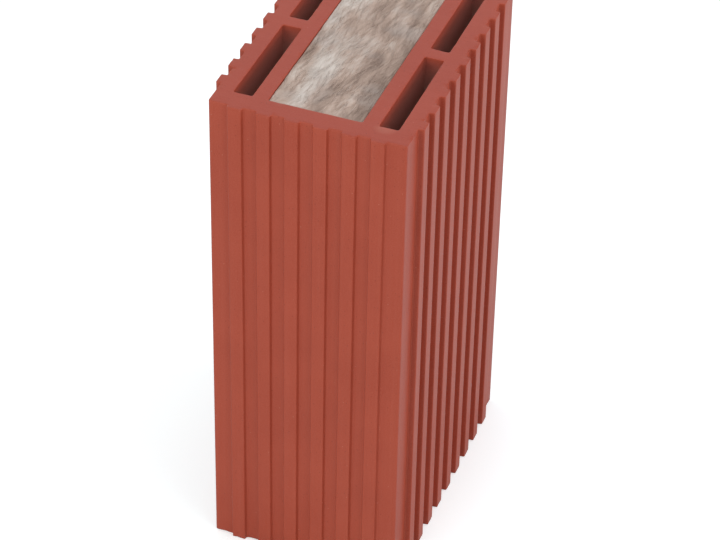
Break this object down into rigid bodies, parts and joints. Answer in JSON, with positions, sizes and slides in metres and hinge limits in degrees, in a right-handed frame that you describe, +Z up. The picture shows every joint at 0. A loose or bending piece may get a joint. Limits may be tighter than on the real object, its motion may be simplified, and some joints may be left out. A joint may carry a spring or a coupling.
{
  "type": "sound insulation clay block",
  "caption": "Ribbed hollow clay wall block with slotted air cells in both shells and a mineral wool slab in its middle chamber.",
  "frame": {"origin": "middle of the lower cut end that the block stands on", "axes": "+Z up along the cells, which is the block's length as laid; +X through the wall thickness, square to the key-ribbed faces; +Y up the course, square to the bed faces"},
  "size_m": [0.1268, 0.19, 0.33],
  "materials": {
    "fired_clay": "matte fired red clay",
    "mineral_wool": "matte beige-grey mineral fibre"
  },
  "bodies": {
    "root": {"clay_block": "fired_clay", "mineral_wool_slab": "mineral_wool"}
  },
  "joints": []
}
